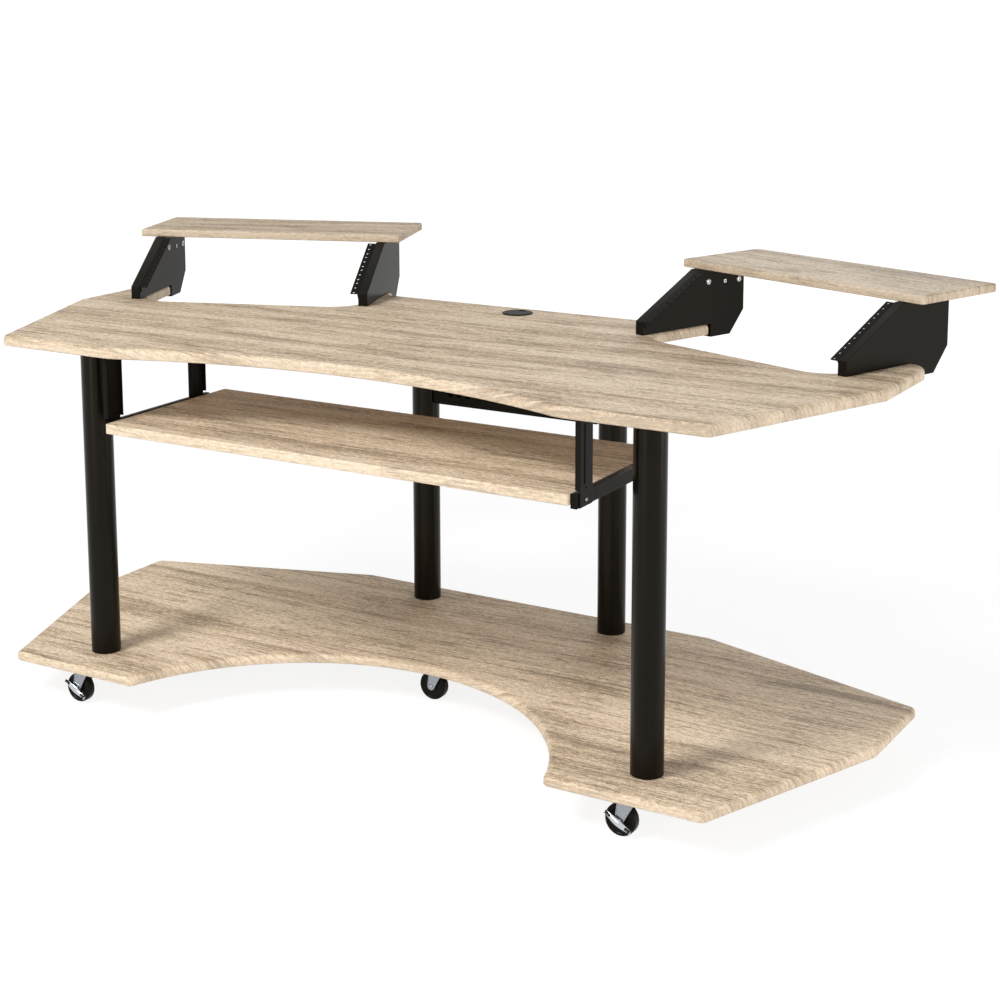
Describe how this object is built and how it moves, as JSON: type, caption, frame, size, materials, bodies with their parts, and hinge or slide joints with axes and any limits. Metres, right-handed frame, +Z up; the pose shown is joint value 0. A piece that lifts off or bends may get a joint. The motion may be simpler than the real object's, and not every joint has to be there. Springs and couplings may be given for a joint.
{
  "type": "studio desk",
  "caption": "Studio desk on casters with a curved desktop, two angled rack bays under shelves, tube legs, a sliding keyboard tray and a base board.",
  "frame": {"origin": "on the floor, below the middle of the desk's width and depth", "axes": "+X to the right of the person at the desk, +Y away from them to the rear, +Z up"},
  "size_m": [1.9396, 0.9869, 0.866],
  "materials": {
    "oak_foil": "matt oak-look foil with a fine grain",
    "black_paint": "semi-gloss black powder coat",
    "rail_black": "semi-gloss black",
    "slide_black": "black electrophoretic coat",
    "bolt_zinc": "bright zinc plate",
    "caster_zinc": "bright zinc plate",
    "black_plastic": "satin moulded plastic",
    "wheel_black": "glossy hard tread"
  },
  "bodies": {
    "frame": {"base_board": "oak_foil", "desktop": "oak_foil", "rack_shelf_left": "oak_foil", "rack_shelf_right": "oak_foil", "leg_front_left": "black_paint", "leg_stud_front_left": "bolt_zinc", "base_bolt_front_left": "bolt_zinc", "leg_front_right": "black_paint", "leg_stud_front_right": "bolt_zinc", "base_bolt_front_right": "bolt_zinc", "leg_rear_left": "black_paint", "leg_stud_rear_left": "bolt_zinc", "base_bolt_rear_left": "bolt_zinc", "leg_rear_right": "black_paint", "leg_stud_rear_right": "bolt_zinc", "base_bolt_rear_right": "bolt_zinc", "rear_beam": "black_paint", "rack_bracket_left_outer": "black_paint", "rack_rail_left_outer": "rail_black", "rack_bracket_left_inner": "black_paint", "rack_rail_left_inner": "rail_black", "slide_channel_left": "slide_black", "tray_hanger_front_left": "black_paint", "tray_hanger_rear_left": "black_paint", "rack_bracket_right_outer": "black_paint", "rack_rail_right_outer": "rail_black", "rack_bracket_right_inner": "black_paint", "rack_rail_right_inner": "rail_black", "slide_channel_right": "slide_black", "tray_hanger_front_right": "black_paint", "tray_hanger_rear_right": "black_paint", "grommet_sleeve": "black_plastic", "caster_plate_front_left": "caster_zinc", "caster_plate_front_right": "caster_zinc", "caster_plate_centre": "caster_zinc", "caster_plate_rear_left": "caster_zinc", "caster_plate_rear_right": "caster_zinc"},
    "tray": {"keyboard_tray": "oak_foil", "slide_runner_left": "slide_black", "slide_runner_right": "slide_black"},
    "slide_cages": {"slide_cage_left": "bolt_zinc", "slide_cage_right": "bolt_zinc"},
    "cable_cap": {"grommet_cap": "black_plastic"},
    "swivel_front_left": {"caster_fork_front_left": "caster_zinc", "caster_axle_front_left": "caster_zinc"},
    "wheel_front_left": {"caster_wheel_front_left": "wheel_black"},
    "pedal_front_left": {"brake_pedal_front_left": "caster_zinc"},
    "swivel_front_right": {"caster_fork_front_right": "caster_zinc", "caster_axle_front_right": "caster_zinc"},
    "wheel_front_right": {"caster_wheel_front_right": "wheel_black"},
    "pedal_front_right": {"brake_pedal_front_right": "caster_zinc"},
    "swivel_centre": {"caster_fork_centre": "caster_zinc", "caster_axle_centre": "caster_zinc"},
    "wheel_centre": {"caster_wheel_centre": "wheel_black"},
    "swivel_rear_left": {"caster_fork_rear_left": "caster_zinc", "caster_axle_rear_left": "caster_zinc"},
    "wheel_rear_left": {"caster_wheel_rear_left": "wheel_black"},
    "swivel_rear_right": {"caster_fork_rear_right": "caster_zinc", "caster_axle_rear_right": "caster_zinc"},
    "wheel_rear_right": {"caster_wheel_rear_right": "wheel_black"}
  },
  "joints": [
    {"name": "tray_slide", "type": "slide", "parent": "frame", "child": "tray", "axis": [0, -1, 0], "range_m": [0, 0.25]},
    {"name": "cage_slide", "type": "slide", "parent": "frame", "child": "slide_cages", "axis": [0, -1, 0], "range_m": [0, 0.125]},
    {"name": "cap_lift", "type": "slide", "parent": "frame", "child": "cable_cap", "axis": [0, 0, 1], "range_m": [0, 0.03]},
    {"name": "swivel_front_left", "type": "hinge", "parent": "frame", "child": "swivel_front_left", "pos_m": [-0.6035, -0.45448, 0.065], "axis": [0, 0, 1], "continuous": true},
    {"name": "roll_front_left", "type": "hinge", "parent": "swivel_front_left", "child": "wheel_front_left", "pos_m": [-0.6195, -0.45448, 0.029], "axis": [0, 1, 0], "continuous": true},
    {"name": "brake_front_left", "type": "hinge", "parent": "swivel_front_left", "child": "pedal_front_left", "pos_m": [-0.6195, -0.45448, 0.029], "axis": [0, 1, 0], "range_deg": [-22, 0]},
    {"name": "swivel_front_right", "type": "hinge", "parent": "frame", "child": "swivel_front_right", "pos_m": [0.6035, -0.45448, 0.065], "axis": [0, 0, 1], "continuous": true},
    {"name": "roll_front_right", "type": "hinge", "parent": "swivel_front_right", "child": "wheel_front_right", "pos_m": [0.5875, -0.45448, 0.029], "axis": [0, 1, 0], "continuous": true},
    {"name": "brake_front_right", "type": "hinge", "parent": "swivel_front_right", "child": "pedal_front_right", "pos_m": [0.5875, -0.45448, 0.029], "axis": [0, 1, 0], "range_deg": [-22, 0]},
    {"name": "swivel_centre", "type": "hinge", "parent": "frame", "child": "swivel_centre", "pos_m": [0, -0.09148, 0.065], "axis": [0, 0, 1], "continuous": true},
    {"name": "roll_centre", "type": "hinge", "parent": "swivel_centre", "child": "wheel_centre", "pos_m": [-0.016, -0.09148, 0.029], "axis": [0, 1, 0], "continuous": true},
    {"name": "swivel_rear_left", "type": "hinge", "parent": "frame", "child": "swivel_rear_left", "pos_m": [-0.64, 0.14652, 0.065], "axis": [0, 0, 1], "continuous": true},
    {"name": "roll_rear_left", "type": "hinge", "parent": "swivel_rear_left", "child": "wheel_rear_left", "pos_m": [-0.656, 0.14652, 0.029], "axis": [0, 1, 0], "continuous": true},
    {"name": "swivel_rear_right", "type": "hinge", "parent": "frame", "child": "swivel_rear_right", "pos_m": [0.64, 0.14652, 0.065], "axis": [0, 0, 1], "continuous": true},
    {"name": "roll_rear_right", "type": "hinge", "parent": "swivel_rear_right", "child": "wheel_rear_right", "pos_m": [0.624, 0.14652, 0.029], "axis": [0, 1, 0], "continuous": true}
  ],
  "couplings": [
    {"joint": "cage_slide", "follows": "tray_slide", "ratio": 0.5}
  ]
}
